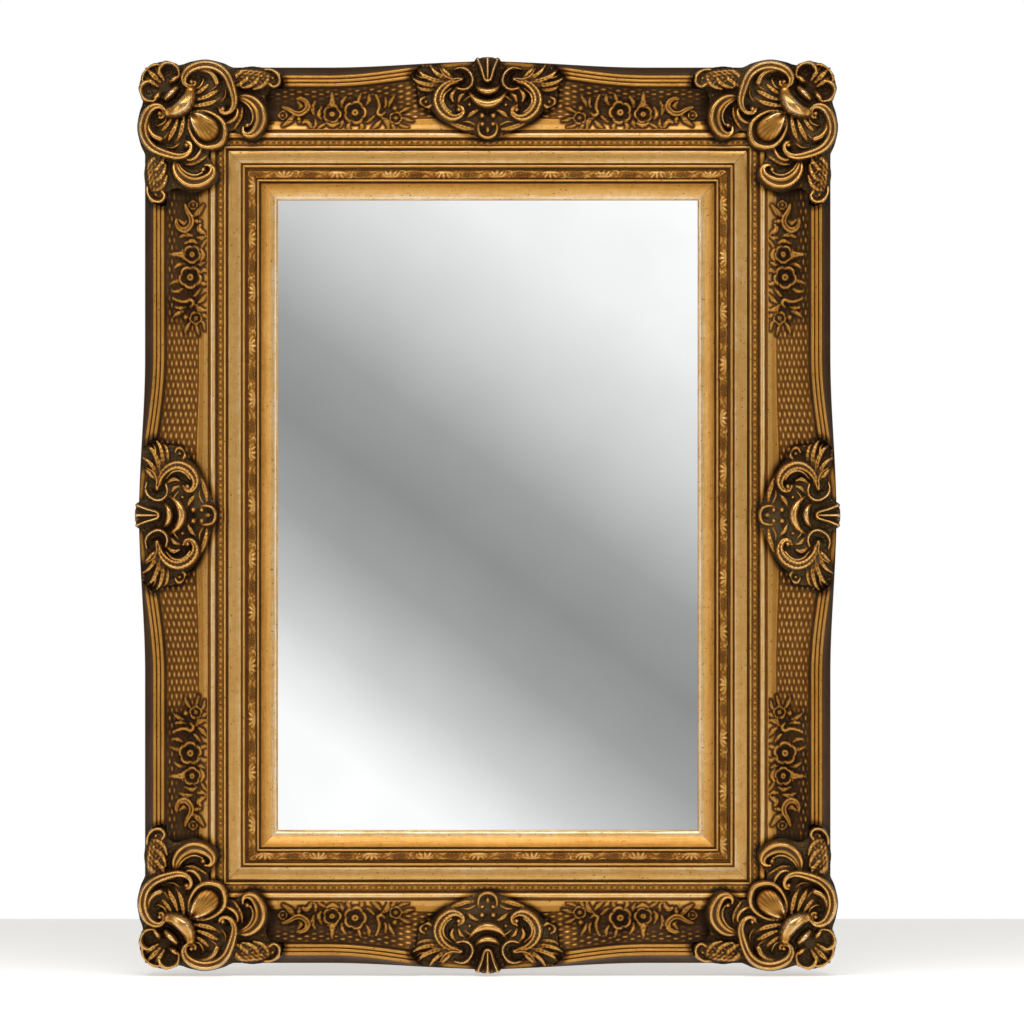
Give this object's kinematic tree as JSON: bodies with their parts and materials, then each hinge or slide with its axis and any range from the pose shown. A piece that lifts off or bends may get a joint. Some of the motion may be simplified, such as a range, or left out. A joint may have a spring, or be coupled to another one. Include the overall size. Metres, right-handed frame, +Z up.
{
  "type": "wall mirror",
  "caption": "Upright wall mirror in a wide swept gilt frame with cast corner cartouches, middle crests, a latticed hollow and a carved slip around the glass.",
  "frame": {"origin": "centre of the flat back, on the wall plane", "axes": "+X to the right as seen from the front, +Y into the wall, +Z up; the front faces -Y"},
  "size_m": [1.0032, 0.082, 1.3032],
  "materials": {
    "gilt_rail": "antique gold leaf, toned dark in the recesses",
    "gilt_liner": "antique gold leaf, satin",
    "gilt_casting": "cast composition, antique gold leaf over dark tone",
    "silvered_glass": "polished, silvered on the back",
    "back_board": "plain sanded board"
  },
  "bodies": {
    "root": {"mirror_plate": "silvered_glass", "backing_board": "back_board", "liner_top": "gilt_liner", "liner_right": "gilt_liner", "liner_bottom": "gilt_liner", "liner_left": "gilt_liner", "rail_top": "gilt_rail", "rail_right": "gilt_rail", "rail_bottom": "gilt_rail", "rail_left": "gilt_rail", "crest_top": "gilt_casting", "crest_right": "gilt_casting", "crest_bottom": "gilt_casting", "crest_left": "gilt_casting", "corner_top_right": "gilt_casting", "corner_bottom_right": "gilt_casting", "corner_bottom_left": "gilt_casting", "corner_top_left": "gilt_casting"}
  },
  "joints": []
}
